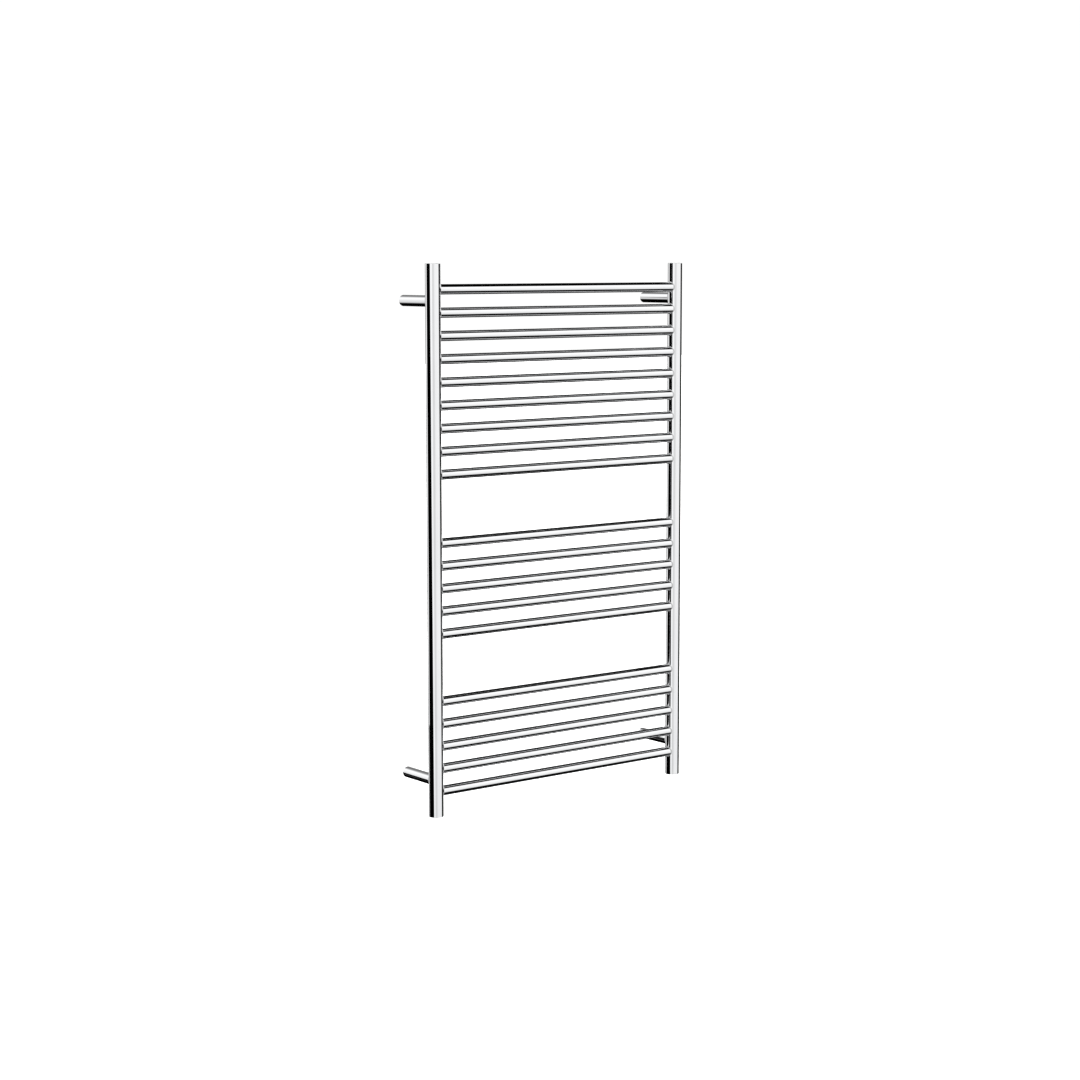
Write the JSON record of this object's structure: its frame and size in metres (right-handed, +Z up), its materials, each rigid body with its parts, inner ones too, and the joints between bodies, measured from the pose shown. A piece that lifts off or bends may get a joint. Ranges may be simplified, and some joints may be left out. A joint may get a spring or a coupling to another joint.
{
  "type": "towel warmer rack",
  "caption": "Wall-hung ladder towel warmer with polished round posts, round rungs in spaced groups and plain cylindrical standoff brackets, for drying and warming towels.",
  "frame": {"origin": "centre of the rectangle of the four wall fixings, on the wall plane", "axes": "+X to the right seen from the room, +Y into the wall along the fixings, +Z up along the posts"},
  "size_m": [0.65, 0.115, 1.09],
  "materials": {
    "polished_steel": "mirror-polished stainless steel tube",
    "weld_steel": "weld metal blended and polished",
    "turned_steel": "turned stainless steel with fine tool rings",
    "screw_steel": "plain stainless set screw",
    "heating_sheath": "silicone cable sheath",
    "lead_sheath": "silicone cable sheath",
    "fitting_sleeve": "heat-shrunk sleeve",
    "terminal_plastic": "moulded polyamide",
    "grommet_rubber": "moulded rubber"
  },
  "bodies": {
    "rack": {"post_left": "polished_steel", "bar_welds_left": "weld_steel", "cap_top_left": "polished_steel", "cap_bottom_left": "polished_steel", "post_right": "polished_steel", "bar_welds_right": "weld_steel", "cap_top_right": "polished_steel", "cap_bottom_right": "polished_steel", "bar_01": "polished_steel", "bar_02": "polished_steel", "bar_03": "polished_steel", "bar_04": "polished_steel", "bar_05": "polished_steel", "bar_06": "polished_steel", "bar_07": "polished_steel", "bar_08": "polished_steel", "bar_09": "polished_steel", "bar_10": "polished_steel", "bar_11": "polished_steel", "bar_12": "polished_steel", "bar_13": "polished_steel", "bar_14": "polished_steel", "bar_15": "polished_steel", "bar_16": "polished_steel", "bar_17": "polished_steel", "bar_18": "polished_steel", "bar_19": "polished_steel", "bracket_welds": "weld_steel", "bracket_sleeve_upper_left": "polished_steel", "wall_spigot_upper_left": "turned_steel", "bracket_sleeve_upper_right": "polished_steel", "wall_spigot_upper_right": "turned_steel", "bracket_sleeve_lower_left": "polished_steel", "wall_spigot_lower_left": "turned_steel", "bracket_sleeve_lower_right": "polished_steel", "wall_spigot_lower_right": "turned_steel", "heating_cable": "heating_sheath", "cold_lead": "lead_sheath", "thermal_cutout": "fitting_sleeve", "cable_splice": "fitting_sleeve", "cable_end_seal": "fitting_sleeve", "terminal_block": "terminal_plastic", "wire_grommet": "grommet_rubber"},
    "grub_screw_upper_left_body": {"grub_screw_upper_left": "screw_steel"},
    "grub_screw_upper_right_body": {"grub_screw_upper_right": "screw_steel"},
    "grub_screw_lower_left_body": {"grub_screw_lower_left": "screw_steel"},
    "grub_screw_lower_right_body": {"grub_screw_lower_right": "screw_steel"}
  },
  "joints": [
    {"name": "grub_screw_upper_left_travel", "type": "slide", "parent": "rack", "child": "grub_screw_upper_left_body", "axis": [0, 0, -1], "range_m": [0, 0.0024]},
    {"name": "grub_screw_upper_right_travel", "type": "slide", "parent": "rack", "child": "grub_screw_upper_right_body", "axis": [0, 0, -1], "range_m": [0, 0.0024]},
    {"name": "grub_screw_lower_left_travel", "type": "slide", "parent": "rack", "child": "grub_screw_lower_left_body", "axis": [0, 0, -1], "range_m": [0, 0.0024]},
    {"name": "grub_screw_lower_right_travel", "type": "slide", "parent": "rack", "child": "grub_screw_lower_right_body", "axis": [0, 0, -1], "range_m": [0, 0.0024]}
  ]
}
